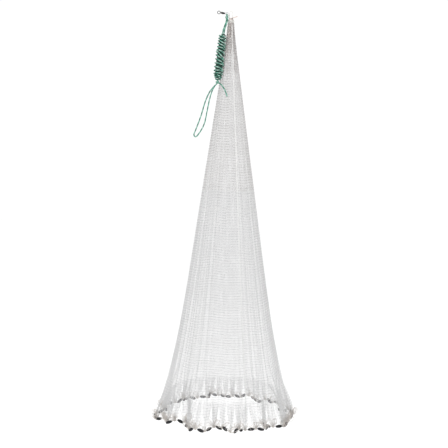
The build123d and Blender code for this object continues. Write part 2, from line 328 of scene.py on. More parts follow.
# ---- material helpers ----
class Nodes:
    """A material's node tree, with short calls for the nodes that are used here."""

    def __init__(self, name):
        self.material = bpy.data.materials.new(name)
        self.material.use_nodes = True
        self.tree = self.material.node_tree
        self.shader = self.tree.nodes["Principled BSDF"]

    def add(self, kind, **inputs):
        node = self.tree.nodes.new("ShaderNode" + kind)
        for key, value in inputs.items():
            self.set(node, key.replace("_", " "), value)
        return node

    def set(self, node, key, value):
        socket = node.inputs[key] if not key.isdigit() else node.inputs[int(key)]
        if isinstance(value, bpy.types.NodeSocket):
            self.tree.links.new(value, socket)
        else:
            socket.default_value = value

    def mix(self, factor, a, b):
        node = self.tree.nodes.new("ShaderNodeMix")
        node.data_type = "RGBA"
        self.set(node, "0", factor)
        self.set(node, "6", a)
        self.set(node, "7", b)
        return node.outputs[2]

    def noise(self, scale, detail=3.0, roughness=0.55):
        place = self.add("TexCoord").outputs["Object"]
        node = self.add("TexNoise", Vector=place, Scale=scale, Detail=detail, Roughness=roughness)
        return node.outputs["Fac"]

    def spread(self, value, low, high):
        node = self.add("MapRange", Value=value)
        self.set(node, "From Min", low)
        self.set(node, "From Max", high)
        return node.outputs[0]

    def bump(self, height, strength, distance):
        node = self.add("Bump", Height=height, Strength=strength, Distance=distance)
        self.set(self.shader, "Normal", node.outputs[0])


def rgb(*values):
    return (*values, 1.0)


def plain(name, colour, roughness, specular=0.5):
    """Thin twine: one even colour, because its detail is in its shape."""
    m = Nodes(name)
    m.set(m.shader, "Base Color", rgb(*colour))
    m.set(m.shader, "Roughness", roughness)
    m.set(m.shader, "Specular IOR Level", specular)
    return m.material


def braid_yarn(name, dark, light):
    """One yarn of the braid, with its fibres."""
    m = Nodes(name)
    tone = m.spread(m.noise(600.0, 4.0, 0.7), 0.3, 0.7)
    m.set(m.shader, "Base Color", m.mix(tone, rgb(*dark), rgb(*light)))
    m.set(m.shader, "Roughness", 0.45)
    m.bump(m.noise(3000.0, 2.0), 0.25, 0.0002)
    return m.material


def lead_material():
    m = Nodes("cast_lead")
    coarse = m.noise(90.0, 4.0)
    fine = m.noise(700.0, 4.0, 0.7)
    colour = m.mix(m.spread(coarse, 0.35, 0.7), rgb(0.006, 0.006, 0.007), rgb(0.040, 0.040, 0.043))
    m.set(m.shader, "Base Color", m.mix(m.spread(fine, 0.6, 0.8), colour, rgb(0.16, 0.16, 0.16)))
    m.set(m.shader, "Metallic", 0.2)
    m.set(m.shader, "Specular IOR Level", 0.25)
    m.set(m.shader, "Roughness", m.spread(coarse, -0.6, 1.4))
    m.bump(fine, 0.35, 0.0004)
    return m.material


def steel_material(name, dark, light, metallic):
    m = Nodes(name)
    smear = m.noise(420.0, 3.0)
    m.set(m.shader, "Base Color", m.mix(smear, rgb(*dark), rgb(*light)))
    m.set(m.shader, "Metallic", metallic)
    m.set(m.shader, "Roughness", m.spread(smear, -0.8, 2.0))
    m.bump(m.noise(1500.0, 2.0), 0.15, 0.0002)
    return m.material


def yarn_material(name, dark, light, roughness=0.7):
    m = Nodes(name)
    tone = m.noise(350.0, 4.0)
    m.set(m.shader, "Base Color", m.mix(m.spread(tone, 0.3, 0.7), rgb(*dark), rgb(*light)))
    m.set(m.shader, "Roughness", roughness)
    m.bump(m.noise(2400.0, 2.0), 0.3, 0.0003)
    return m.material


# ---- mesh helpers ----
def make_piece(name, parts, materials, body, replaced=(), smooth=True):
    """One mesh object out of (points, faces, material number) parts."""
    points, faces, numbers, start = [], [], [], 0
    for part_points, part_faces, *number in parts:
        points.append(part_points)
        faces.append(np.asarray(part_faces) + start)
        numbers.append(np.full(len(part_faces), number[0] if number else 0))
        start += len(part_points)
    points = np.concatenate(points).astype(np.float32)
    mesh = bpy.data.meshes.new(name)
    counts = np.concatenate([np.full(len(f), f.shape[1]) for f in faces]).astype(np.int32)
    corners = np.concatenate([f.ravel() for f in faces]).astype(np.int32)
    mesh.vertices.add(len(points))
    mesh.vertices.foreach_set("co", points.ravel())
    mesh.loops.add(len(corners))
    mesh.loops.foreach_set("vertex_index", corners)
    mesh.polygons.add(len(counts))
    mesh.polygons.foreach_set("loop_start", np.concatenate([[0], np.cumsum(counts)[:-1]]).astype(np.int32))
    mesh.polygons.foreach_set("loop_total", counts)
    mesh.polygons.foreach_set("use_smooth", np.full(len(counts), smooth))
    for material in materials if isinstance(materials, list) else [materials]:
        mesh.materials.append(material)
    mesh.polygons.foreach_set("material_index", np.concatenate(numbers).astype(np.int32))
    mesh.update()
    mesh.validate()
    piece = bpy.data.objects.new(name, mesh)
    bpy.context.scene.collection.objects.link(piece)
    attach(piece, body)
    if replaced:
        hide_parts(*replaced)
    return piece


def unit(vectors):
    return vectors / np.maximum(np.linalg.norm(vectors, axis=-1, keepdims=True), 1e-12)


def bars(starts, ends, radius, sides=3):
    """Straight twines from each start to its end."""
    along = unit(ends - starts)
    helper = np.where(np.abs(along[:, 2:3]) > 0.9, [[1.0, 0, 0]], [[0, 0, 1.0]])
    e1 = unit(np.cross(along, helper))
    e2 = np.cross(along, e1)
    radius = np.broadcast_to(np.asarray(radius, float).reshape(-1, 1), (len(starts), 1))
    rings = []
    for i in range(sides):
        angle = TAU * i / sides
        rings.append(radius * (e1 * math.cos(angle) + e2 * math.sin(angle)))
    offsets = np.stack(rings, 1)
    points = np.concatenate([starts[:, None] + offsets, ends[:, None] + offsets], 1).reshape(-1, 3)
    first = (np.arange(len(starts)) * 2 * sides)[:, None, None]
    quads = np.array([[i, (i + 1) % sides, sides + (i + 1) % sides, sides + i] for i in range(sides)])
    return points, (first + quads).reshape(-1, 4)


def knots(places):
    """A small four-faced knot at each place, wider than it is tall."""
    corners = np.array([(1, 1, 1), (1, -1, -1), (-1, 1, -1), (-1, -1, 1)]) / math.sqrt(3)
    corners = corners * (KNOT_WIDTH, KNOT_WIDTH, KNOT_HEIGHT)
    points = (places[:, None] + corners).reshape(-1, 3)
    first = (np.arange(len(places)) * 4)[:, None, None]
    faces = np.array([(0, 1, 2), (0, 3, 1), (0, 2, 3), (1, 3, 2)])
    return points, (first + faces).reshape(-1, 3), 1  # the second of the piece's two materials


def walked(line):
    """How far along a line each of its points is."""
    return np.concatenate([[0], np.cumsum(np.linalg.norm(np.diff(line, axis=0), axis=1))])


def smooth_line(route, step):
    """Points an even step apart, read from the NURBS spline that has the route as its control points."""
    curve = bpy.data.curves.new("route", "CURVE")
    curve.dimensions = "3D"
    spline = curve.splines.new("NURBS")
    spline.points.add(len(route) - 1)
    for point, place in zip(spline.points, route):
        point.co = (*place, 1.0)
    spline.order_u = 3
    spline.use_endpoint_u = True
    spline.resolution_u = 12
    holder = bpy.data.objects.new("route", curve)
    bpy.context.scene.collection.objects.link(holder)
    mesh = bpy.data.meshes.new_from_object(holder)
    points = np.array([v.co for v in mesh.vertices])
    bpy.data.objects.remove(holder)
    bpy.data.curves.remove(curve)
    bpy.data.meshes.remove(mesh)
    lengths = walked(points)
    count = max(4, int(round(lengths[-1] / step)) + 1)
    even = np.linspace(0, lengths[-1], count)
    return np.stack([np.interp(even, lengths, points[:, k]) for k in range(3)], 1)


def line_frames(line):
    """Two directions square to a line at each of its points, carried along without twisting."""
    along = unit(np.gradient(line, axis=0))
    side = np.cross(along[0], (0.0, 0.0, 1.0) if abs(along[0][2]) < 0.9 else (1.0, 0.0, 0.0))
    sides = []
    for direction in along:
        side = side - direction * np.dot(side, direction)
        side = side / np.linalg.norm(side)
        sides.append(side)
    sides = np.array(sides)
    return sides, np.cross(along, sides)


def tube(line, radius, sides=8, caps=True):
    """A round tube along a line, as (points, quads); radius is one number or one for each point."""
    e1, e2 = line_frames(line)
    radius = np.broadcast_to(np.asarray(radius, float), (len(line),))
    angles = np.arange(sides) * TAU / sides
    ring = np.cos(angles)[None, :, None] * e1[:, None] + np.sin(angles)[None, :, None] * e2[:, None]
    points = (line[:, None] + ring * radius[:, None, None]).reshape(-1, 3)
    a = np.arange(len(line) - 1)[:, None] * sides + np.arange(sides)
    b = np.arange(len(line) - 1)[:, None] * sides + (np.arange(sides) + 1) % sides
    quads = np.stack([a, b, b + sides, a + sides], 2).reshape(-1, 4)
    if caps:
        points = np.concatenate([points, line[:1], line[-1:]])
        last = (len(line) - 1) * sides
        for first, hub in ((0, len(points) - 2), (last, len(points) - 1)):
            i = np.arange(0, sides, 2)
            fan = [first + i, first + (i + 1) % sides, first + (i + 2) % sides, np.full(len(i), hub)]
            quads = np.concatenate([quads, np.stack(fan, 1)])
    return points, quads


def thin_tube(line, radius):
    """A four-sided tube with open ends, for twine."""
    return tube(line, radius, 4, caps=False)


def braid(line, radius, colours):
    """Eight yarns that pass over and under each other along a line; colours number their materials."""
    e1, e2 = line_frames(line)
    distance = walked(line)
    parts = []
    for k in range(8):
        way = 1 if k % 2 else -1
        angle = way * TAU * distance / BRAID_PITCH + TAU * (k // 2) / 4
        reach = radius * (YARN_REACH + YARN_WEAVE * way * np.sin(4 * angle))
        yarn = line + reach[:, None] * (np.cos(angle)[:, None] * e1 + np.sin(angle)[:, None] * e2)
        parts.append((*tube(yarn, radius * YARN_SHARE, 4), colours[k]))
    return parts


def rope_piece(name, line, body, replaced, radius=ROPE_RADIUS):
    """A braided rope along a line."""
    parts = braid(line, radius, OUTER_YARNS)
    return make_piece(name, parts, MATERIALS["yarns"], body, replaced)


def twisted(line, offset, radius, pitch, strands=3, sides=6):
    """The strands of a laid cord: each of this radius, and its middle this offset from the line."""
    e1, e2 = line_frames(line)
    distance = walked(line)
    parts = []
    for k in range(strands):
        turn = TAU * (distance / pitch + k / strands)
        strand = line + offset * (np.cos(turn)[:, None] * e1 + np.sin(turn)[:, None] * e2)
        parts.append(tube(strand, radius, sides))
    return parts


# ---- cords ----
def hank_outline(s):
    """Radius of the hank, s metres down from its top."""
    depths, radii = zip(*HANK_OUTLINE)
    return float(np.interp(s * 1000, depths, radii) / 1000)


def hank_place(s, radius, turn, lean=0.0):
    """A point on a turn of the hank; a leaning turn is lower at its right than at its left."""
    swing = HANK_RIGHT * (radius * math.cos(turn)) + HANK_FRONT * (radius * math.sin(turn))
    bow = math.sin(math.pi * min(1, s / HANK_BOW_LENGTH) ** 1.6)
    swing = swing + HANK_FRONT * (HANK_BOW * bow) - HANK_RIGHT * (HANK_SIDE_BOW * bow)
    return tuple(HANK_TOP + HANK_DOWN * (s + lean * radius * math.cos(turn)) + swing)


def inner_course():
    """The rope's course down the hank's middle and back up it in close turns."""
    points = []
    for s in np.linspace(CORE_TOP, CORE_FOOT, CORE_POINTS):
        points.append(hank_place(s, CORE_RADIUS, TAU / 2 + rng.uniform(-0.2, 0.2)))
    for i in range(1, CLOSE_STEPS):
        share = i / CLOSE_STEPS
        s = CORE_FOOT + OPENING_DEPTH * math.sin(share * TAU / 4)
        points.append(hank_place(s, CORE_RADIUS + OPENING_GROWTH * share, TAU / 2 - TAU * share))
    for i in range(CLOSE_TURNS * CLOSE_STEPS + 1):
        s = CLOSE_FOOT - (CLOSE_FOOT - CLOSE_TOP) * (i / (CLOSE_TURNS * CLOSE_STEPS))
        radius = max(CLOSE_LEAST_RADIUS, hank_outline(s) - CLOSE_INSET)
        points.append(hank_place(s, radius, TAU / 2 - TAU * i / CLOSE_STEPS))
    half_turn = CLOSE_STEPS // 2
    for i in range(1, half_turn):
        share = i / half_turn
        s = CLOSE_TOP - RISE_TO_LOOSE * share
        points.append(hank_place(s, CLOSE_LEAST_RADIUS + GROWTH_TO_LOOSE * share, (1 - share) * TAU / 2))
    return points


def outer_course():
    """Its course down over them in loose turns, and in front of them to the knot."""
    turns, depths = zip(*LOOSE_COURSE)
    wobble = rng.uniform(-1, 1, WOBBLES)
    points = []
    for i in range(int(LOOSE_TURNS * LOOSE_STEPS) + 1):
        made = i / LOOSE_STEPS
        jitter = float(np.interp(made, range(WOBBLES), wobble))
        fade = 1 - (made / WOBBLE_ENDS) ** 4
        s = float(np.interp(made, turns, depths)) + WOBBLE_DEPTH * jitter * fade
        middle = math.exp(-(((s - LEAN_DEPTH) / LEAN_SPREAD) ** 4))
        lean = WOBBLE_LEAN * jitter + middle * (MIDDLE_LEAN + MIDDLE_LEAN_WOBBLE * jitter)
        radius = hank_outline(s) - LOOSE_INSET + WOBBLE_RADIUS * jitter
        points.append(hank_place(s, radius, -TAU * i / LOOSE_STEPS, lean))
    last = hank_outline(CROSSING_TOP) - LOOSE_INSET
    for i in range(1, CROSSING_STEPS + 1):
        share = i / CROSSING_STEPS
        s = CROSSING_TOP + CROSSING_DEPTH * share
        radius = last + (CROSSING_END_RADIUS - last) * share
        points.append(hank_place(s, radius, TAU / 2 - TAU * i / LOOSE_STEPS))
    return points


def nearest_point(line, place):
    """The number of the point of a line that is nearest to a place."""
    return int(np.argmin(np.linalg.norm(line - np.array(place), axis=1)))


def make_hand_rope():
    """The hand rope and its hank, whose hidden turns are darker than the outer ones as a painted shade; the
    loose turns carry a painted highlight and shade in their yarns.
    """
    inner = inner_course()
    outer = outer_course()
    hand_line = smooth_line(HAND_ROPE_ROUTE + inner + outer, HANK_STEP)
    top = nearest_point(hand_line, inner[0])
    inside = nearest_point(hand_line, outer[0])
    tapers = nearest_point(hand_line, outer[FOOT_TURN * LOOSE_STEPS])
    parts = braid(hand_line[: top + 1], ROPE_RADIUS, OUTER_YARNS)
    # the hidden turns in all-dark yarns, a painted shade
    parts += braid(hand_line[top : inside + 1], ROPE_RADIUS, INNER_SHADE_YARNS)
    # the loose turns, with a painted highlight and shade in their yarns
    parts += braid(hand_line[inside : tapers + 1], ROPE_RADIUS, LOOSE_HIGHLIGHT_AND_SHADE_YARNS)
    parts += braid(hand_line[tapers:], ROPE_RADIUS, FOOT_YARNS)
    replaced = ["hand_rope", "rope_hank"]
    rope = make_piece("hand_rope_and_hank", parts, MATERIALS["yarns"], "hand_line", replaced)


def make_short_ropes():
    """The rope's second part, the wrist loop and the cut end."""
    back_line = smooth_line(ROPE_RETURN_ROUTE, ROPE_STEP)
    back = rope_piece("hand_rope_second_part", back_line, "hand_line", ["rope_return"])

    loop_line = smooth_line(WRIST_LOOP_ROUTE, ROPE_STEP)
    loop = rope_piece("wrist_loop_rope", loop_line, "hand_line", ["wrist_loop"])

    tail_line = smooth_line(ROPE_TAIL_ROUTE, ROPE_STEP)
    tail = rope_piece("rope_cut_end", tail_line, "hand_line", ["rope_tail"])


def make_knots():
    """The knots at the swivel's eye and at the hank's foot."""
    # one turn round the eye's wire, then turns round the rope itself
    wire = EYE_CENTRE - Vector((0, 0, EYE_RADIUS))
    route = []
    for a in np.linspace(-2.6, 2.6, 13):
        route.append(tuple(wire + Vector((0, EYE_KNOT_BEND * math.sin(a), EYE_KNOT_BEND * math.cos(a)))))
    for a in np.linspace(0.6, TAU * 2.2, 28):
        x = -0.018 + EYE_KNOT_BEND * math.sin(a)
        y = -0.003 - 0.0042 * math.cos(a)
        route.append(tuple(Vector((x, y, -0.0195 - 0.0048 * a / TAU))))
    knot_line = smooth_line(route, ROPE_STEP)
    rope_piece("eye_knot_rope", knot_line, "hand_line", ["eye_knot"], radius=EYE_KNOT_RADIUS)

    # a trefoil
    foot = HANK_FOOT + HANK_DOWN * 0.006
    route = []
    for a in np.linspace(0, TAU, 31):
        reach = 0.0042 + 0.0018 * math.cos(3 * a)
        place = Vector((reach * math.cos(2 * a), reach * math.sin(2 * a), 0.0030 * math.sin(3 * a)))
        route.append(tuple(foot + place))
    rope_piece("hank_knot_rope", smooth_line(route, ROPE_STEP), "hand_line", ["hank_knot"])


# ---- the surface that the netting hangs on ----
def net_radius(z):
    t = -np.asarray(z) / NET_HEIGHT
    return np.hypot(NECK_RADIUS, CONE_SPREAD * t) + HEM_FLARE * t**8


def notch(degrees, place):
    """How far a notch draws the lead line in, and how far it lifts it."""
    middle, depth, half_width, lift = place
    away = (degrees - middle + 180) % 360 - 180
    share = np.exp(-((away / half_width) ** 2))
    return depth * share, lift * share


def hem_course(azimuth):
    """Radius and height of the lead line."""
    degrees = np.degrees(azimuth)
    left_depth, left_lift = notch(degrees, LEFT_NOTCH)
    right_depth, right_lift = notch(degrees, RIGHT_NOTCH)
    radius = HEM_RADIUS + PLEAT_DEPTH * np.sin(PLEAT_COUNT * azimuth + math.radians(PLEAT_START))
    radius = radius + HEM_SWAY * np.sin(5 * azimuth) - left_depth - right_depth
    height = HEM_Z + HEM_SLOW_LIFT * np.sin(3 * azimuth) + HEM_FAST_LIFT * np.sin(11 * azimuth)
    height = height + left_lift + right_lift - HEM_SAG * np.cos(2 * azimuth)
    return radius, height


def hem_point(degrees):
    azimuth = np.radians(degrees)
    radius, height = hem_course(azimuth)
    return np.array([radius * math.cos(azimuth), radius * math.sin(azimuth), height])


def lead_places():
    """Centre and direction of each lead."""
    course = np.array([hem_point(360 * i / HEM_STEPS) for i in range(HEM_STEPS + 1)])
    spans = np.linalg.norm(np.diff(course, axis=0), axis=1)
    pitch = spans.sum() / LEAD_COUNT
    azimuths, distance = [], 0.0
    for i, span in enumerate(spans):
        if distance >= pitch * (len(azimuths) + LEAD_SHIFT * math.sin(2.7 * len(azimuths))):
            azimuths.append(360 * i / HEM_STEPS)
        distance += span
    places = []
    for index, azimuth in enumerate(azimuths[:LEAD_COUNT]):
        tangent = Vector(unit(hem_point(azimuth + LEAD_REACH) - hem_point(azimuth - LEAD_REACH)))
        yaw = math.radians(LEAD_YAW * math.sin(1.7 * index + 1))
        tangent = np.array(Matrix.Rotation(yaw, 3, "Z") @ tangent)
        tip = math.radians(LEAD_TIP * math.sin(2.4 * index) + LEAD_TIP_VARIES * math.sin(1.1 * index + 1))
        direction = tangent * math.cos(tip) + np.array([0, 0, math.sin(tip)])
        places.append((hem_point(azimuth), unit(direction)))
    return places


def gap_points():
    """The places between neighbouring leads, where the netting is tied to the line."""
    gaps = []
    for (centre, direction), (next_centre, next_direction) in zip(LEADS, LEADS[1:] + LEADS[:1]):
        tip = centre + direction * LEAD_LENGTH / 2
        gaps.append((tip + next_centre - next_direction * LEAD_LENGTH / 2) / 2)
    return np.array(gaps)


LEADS = lead_places()
GAPS = gap_points()
GAP_AZIMUTHS = np.sort(np.arctan2(GAPS[:, 1], GAPS[:, 0]) % TAU)


def folds(azimuth, z):
    """Uneven pleats, from about -1 to 1, that drift a little sideways on their way down."""
    total = 0.0
    for count, size, phase in FOLD_WAVES:
        wave = np.sin(count * azimuth + phase + 0.9 * np.sin(2.3 * z + phase))
        total = total + size * (1 - 1.6 * np.abs(wave) ** 1.4)
    return total / 1.6


def towards_gaps(azimuth, share):
    """Azimuths drawn towards the nearest gap between leads."""
    away = (GAP_AZIMUTHS[None] - azimuth[:, None] + math.pi) % TAU - math.pi
    nearest = away[np.arange(len(azimuth)), np.argmin(np.abs(away), axis=1)]
    return azimuth + share * nearest


def smooth_share(value):
    value = np.clip(value, 0, 1)
    return value * value * (3 - 2 * value)


def net_points(azimuth, z, inset=0.0):
    """Points of the netting at azimuths and heights; inset moves them towards the axis."""
    blend = smooth_share((-z - (-SKIRT_FOOT_Z - HEM_BLEND_HEIGHT)) / HEM_BLEND_HEIGHT)
    gather = smooth_share((-z - (-SKIRT_FOOT_Z - GATHER_HEIGHT)) / GATHER_HEIGHT)
    azimuth = towards_gaps(azimuth, GATHER_SHARE * gather)
    hem_radius, hem_height = hem_course(azimuth)
    plain_radius = net_radius(z)
    radius = plain_radius * (1 + blend * (hem_radius / HEM_RADIUS - 1))
    radius = radius + FOLD_DEPTH * plain_radius * (folds(azimuth, z) - FOLD_DRAW) - inset
    sway = SLOW_SWAY * np.sin(3 * azimuth + 1.0) + FAST_SWAY * np.sin(8 * azimuth + 2.0 + 3 * z)
    height = z + sway * np.clip(-z / SWAY_GROWS_OVER, 0, 1) + (hem_height - HEM_Z) * blend
    return np.stack([radius * np.cos(azimuth), radius * np.sin(azimuth), height], -1)


def mesh_rows(top, foot):
    """Heights of the rows of knots from top to foot, with each row's number of meshes."""
    count = int(round((top - foot) / BAR))
    rows = []
    for i in range(count + 1):
        z = top + (foot - top) * i / count
        block_top = top + (foot - top) * (i // ROWS_PER_INCREASE * ROWS_PER_INCREASE) / count
        rows.append((z, MESHES_AT_HEAD + int(round(-block_top * MESHES_PER_METRE)), i % 2))
    return rows


def knot_rows(rows, surface, scatter):
    """The places of each row's knots, a little off their even places."""
    places = []
    for z, count, odd in rows:
        azimuth = (np.arange(count) + 0.5 * odd) * TAU / count
        places.append(surface(azimuth, np.full(count, z)) + rng.normal(0, scatter, (count, 3)))
    return places


def netting(rows, places, twine):
    """Diamond netting: each knot hangs on the two knots of the row above that it lies between."""
    starts, ends = [], []
    for above, here, above_places, here_places in zip(rows, rows[1:], places, places[1:]):
        _, above_count, above_odd = above
        _, count, odd = here
        spot = (np.arange(count) + 0.5 * odd) * above_count / count - 0.5 * above_odd
        low = np.floor(spot + 1e-6).astype(int)
        for k in (low, low + 1):
            starts.append(above_places[k % above_count])
            ends.append(here_places)
    return [bars(np.concatenate(starts), np.concatenate(ends), twine), knots(np.concatenate(places[1:]))]


def even_rows(top, foot, steps, meshes):
    """Rows of knots from top to foot that all have the same number of meshes."""
    return [(top + (foot - top) * i / steps, meshes, i % 2) for i in range(steps + 1)]


# ---- netting pieces ----
def net_piece(name, parts, tier, replaced=()):
    """A piece of netting in its tier's two materials, for bars and for knots."""
    make_piece(name, parts, MATERIALS[tier], "net", replaced, smooth=False)


def make_netting():
    """The three tiers; the places of the skirt's lowest knots are returned, to be tied to the lead line."""
    crown = mesh_rows(NETTING_TOP_Z, UPPER_JOIN_Z)
    band = even_rows(UPPER_JOIN_Z, LOWER_JOIN_Z, BAND_ROWS, crown[-1][1] + BAND_EXTRA_MESHES)
    skirt = mesh_rows(LOWER_JOIN_Z, SKIRT_FOOT_Z)
    places = knot_rows(crown, net_points, KNOT_SCATTER)
    parts = netting(crown[: HEAD_ROWS + 1], places[: HEAD_ROWS + 1], HEAD_TWINE)
    parts += netting(crown[HEAD_ROWS:], places[HEAD_ROWS:], CROWN_TWINE)
    net_piece("crown_netting", parts, "crown", ["net_crown"])
    parts = netting(band, knot_rows(band, net_points, KNOT_SCATTER), BAND_TWINE)
    net_piece("band_netting", parts, "skirt", ["net_band"])
    places = knot_rows(skirt, net_points, SKIRT_SCATTER)
    quarter = len(skirt) // 4
    for number in range(4):
        first = number * quarter
        last = len(skirt) if number == 3 else first + quarter + 1
        parts = netting(skirt[first:last], places[first:last], SKIRT_TWINES[number])
        net_piece(f"skirt_netting_{number + 1}", parts, "skirt", ["net_skirt"])
    return places[-1]


# ---- hem ----
def make_lead_line():
    """The cord that runs through every lead; its ends meet inside the first one."""
    half = LEAD_LENGTH / 2 + LEAD_END_GAP
    route = []
    for centre, direction in LEADS:
        route.append(tuple(centre - direction * half))
        route.append(tuple(centre + direction * half))
    centre, direction = LEADS[0]
    start = tuple(centre + direction * LINE_END_GAP)
    end = tuple(centre - direction * LINE_END_GAP)
    line = smooth_line([start] + route[1:] + [route[0], end], LINE_STEP)
    parts = twisted(line, offset=0.00062, radius=0.00068, pitch=0.009)
    make_piece("lead_line_cord", parts, MATERIALS["lead_line"], "net", ["lead_line"])


def gap_ties(foot, scatter, twine):
    """Twines from each knot to the nearest gap between leads."""
    nearest = np.argmin(np.linalg.norm(foot[:, None] - GAPS[None], axis=2), axis=1)
    return bars(foot, GAPS[nearest] + rng.normal(0, scatter, (len(foot), 3)), twine)


def pocket_points(azimuth, z):
    """Points of the turned-in pocket, which slopes from its strings out and down to the line."""
    share = (z - FOLD_TOP_Z) / (FOLD_FOOT_Z - FOLD_TOP_Z)
    azimuth = towards_gaps(azimuth, GATHER_SHARE * smooth_share(share))
    hem_radius, hem_height = hem_course(azimuth)
    radius = FOLD_TOP_RADIUS * (1 - share) + (hem_radius - POCKET_INSET) * share
    radius = radius + POCKET_FOLD_DEPTH * radius * folds(azimuth + 1.1, z)
    radius = np.minimum(radius, hem_radius - POCKET_INSET)
    height = z + POCKET_FOLD_LIFT * folds(azimuth, z) + (hem_height - HEM_Z) * share
    return np.stack([radius * np.cos(azimuth), radius * np.sin(azimuth), height], -1)


def make_pocket():
    """The netting of the pocket, tied to the line between the leads."""
    rows = even_rows(FOLD_TOP_Z, FOLD_FOOT_Z, POCKET_ROWS, POCKET_MESHES)
    places = knot_rows(rows, pocket_points, POCKET_SCATTER)
    parts = netting(rows, places, POCKET_TWINE)
    parts.append(gap_ties(places[-1], POCKET_TIE_SCATTER, POCKET_TWINE))
    net_piece("pocket_netting", parts, "skirt", ["pocket_fold"])


def open_loop(gap, lean, flat, size, width, count, twine):
    """A loop of twine that stands out from a gap along lean and is wide along flat."""
    turn = np.linspace(-0.9 * math.pi, 0.9 * math.pi, count)
    ring = gap + size * (lean * (1 + np.cos(turn))[:, None] + width * flat * np.sin(turn)[:, None])
    return thin_tube(ring, twine)


def loose_loop(gap, outward, sideways):
    """A small loop of twine; this and the next four draw their sizes at random, in metres."""
    size = rng.uniform(0.005, 0.020)
    lean = outward * rng.uniform(-0.3, 0.5) + np.array([0, 0, rng.uniform(0.2, 1.6)])
    lean = unit(lean + sideways * rng.uniform(-1, 1))
    flat = unit(np.cross(lean, rng.normal(0, 1, 3)))
    return open_loop(gap, lean, flat, size, 0.62, 15, LOOP_TWINE)


def side_loop(gap, outward, sideways):
    """A larger loop, seen against the light at the net's left and right."""
    size = rng.uniform(0.009, 0.0165)
    lean = unit(outward * rng.uniform(-0.2, 1.0) + np.array([0, 0, rng.uniform(0.3, 1.3)]))
    flat = unit(np.cross(lean, outward * 0.3 + sideways + rng.normal(0, 0.3, 3)))
    return open_loop(gap, lean, flat, size, 0.5, 21, SIDE_LOOP_TWINE)


def drawn_twine(gap):
    """A twine drawn together from higher up the netting to a gap."""
    rise = rng.uniform(0.030, 0.095)
    azimuth = math.atan2(gap[1], gap[0]) + rng.uniform(-0.075, 0.075)
    z = np.linspace(0, rise, 9)
    head = net_points(np.full(9, azimuth), np.full(9, SKIRT_FOOT_Z) + z, inset=rng.uniform(0.001, 0.006))
    share = smooth_share(z / 0.030)[:, None]
    return thin_tube(gap * (1 - share) + head * share, DRAWN_TWINE)


def tuft(gap, outward, sideways):
    """A short end of twine."""
    way = np.array([0, 0, rng.uniform(0.3, 1.0)]) - outward * rng.uniform(-0.4, 0.5)
    way = unit(way + sideways * rng.uniform(-1.2, 1.2))
    bend = sideways * rng.uniform(-0.006, 0.006) + outward * rng.uniform(-0.004, 0.004)
    share = np.linspace(0, 1, 7)[:, None]
    strand = gap + way * rng.uniform(0.010, 0.040) * share + bend * np.sin(math.pi * share)
    return thin_tube(strand, TUFT_TWINE)


def lashing(gap):
    """Turns of twine that tie the netting to the line."""
    way = unit(rng.normal(0, 1, 3))
    side = unit(np.cross(way, rng.normal(0, 1, 3)))
    turn = np.linspace(0, TAU * 1.6, 16)
    ring = gap + LASHING_RADIUS * (way * np.cos(turn)[:, None] + side * np.sin(turn)[:, None])
    ring = ring + np.outer(np.linspace(-0.003, 0.003, 16), np.cross(way, side))
    return tube(ring, LASHING_TWINE, 5, caps=False)


def make_loose_twine():
    """Loops, draws, tufts and lashings at each gap between leads; the back has fewer, as it shows less."""
    loops, draws, tufts, lashings = [], [], [], []
    for number, gap in enumerate(GAPS):
        bushy = 1.0 + 0.7 * math.sin(2.4 * number)
        seen_less = BACK_SHARE if gap[1] > BACK_FROM_Y else 1.0
        outward = unit(np.array([gap[0], gap[1], 0.0]))
        sideways = np.array([-outward[1], outward[0], 0.0])
        for _ in range(int(3 + 4 * bushy)):
            loops.append(loose_loop(gap, outward, sideways))
        if abs(outward[0]) > SIDES_FROM:
            for _ in range(SIDE_LOOPS):
                loops.append(side_loop(gap, outward, sideways))
        for _ in range(int((4 + 4 * bushy) * seen_less)):
            draws.append(drawn_twine(gap))
        for _ in range(int((7 + 8 * bushy) * seen_less)):
            tufts.append(tuft(gap, outward, sideways))
        for _ in range(LASHING_COUNT):
            lashings.append(lashing(gap))
    make_piece("hem_draws", draws, MATERIALS["skirt"][:1], "net", ())
    make_piece("hem_loops", loops, MATERIALS["loops"], "net", ())
    make_piece("hem_tufts", tufts, MATERIALS["lashing"], "net", ())
    make_piece("hem_lashings", lashings, MATERIALS["lashing"], "net", ())


def make_hem(foot):
    """The lead line, the netting's ties to it, the turned-in pocket and the loose twine."""
    make_lead_line()
    ties = [gap_ties(foot, TIE_SCATTER, TIE_TWINE)]
    make_piece("hem_ties", ties, MATERIALS["skirt"][:1], "net", (), smooth=False)
    make_pocket()
    make_loose_twine()


# ---- lacing and head ----
def ring_of_lacing(height, wave, twine, inset):
    """A twine round the net, that rises and falls by wave from point to point."""
    heights = height + wave * np.where(np.arange(RING_POINTS) % 2, 1, -1)
    points = net_points(np.linspace(0, TAU, RING_POINTS), heights, inset=inset)
    return thin_tube(points, twine)


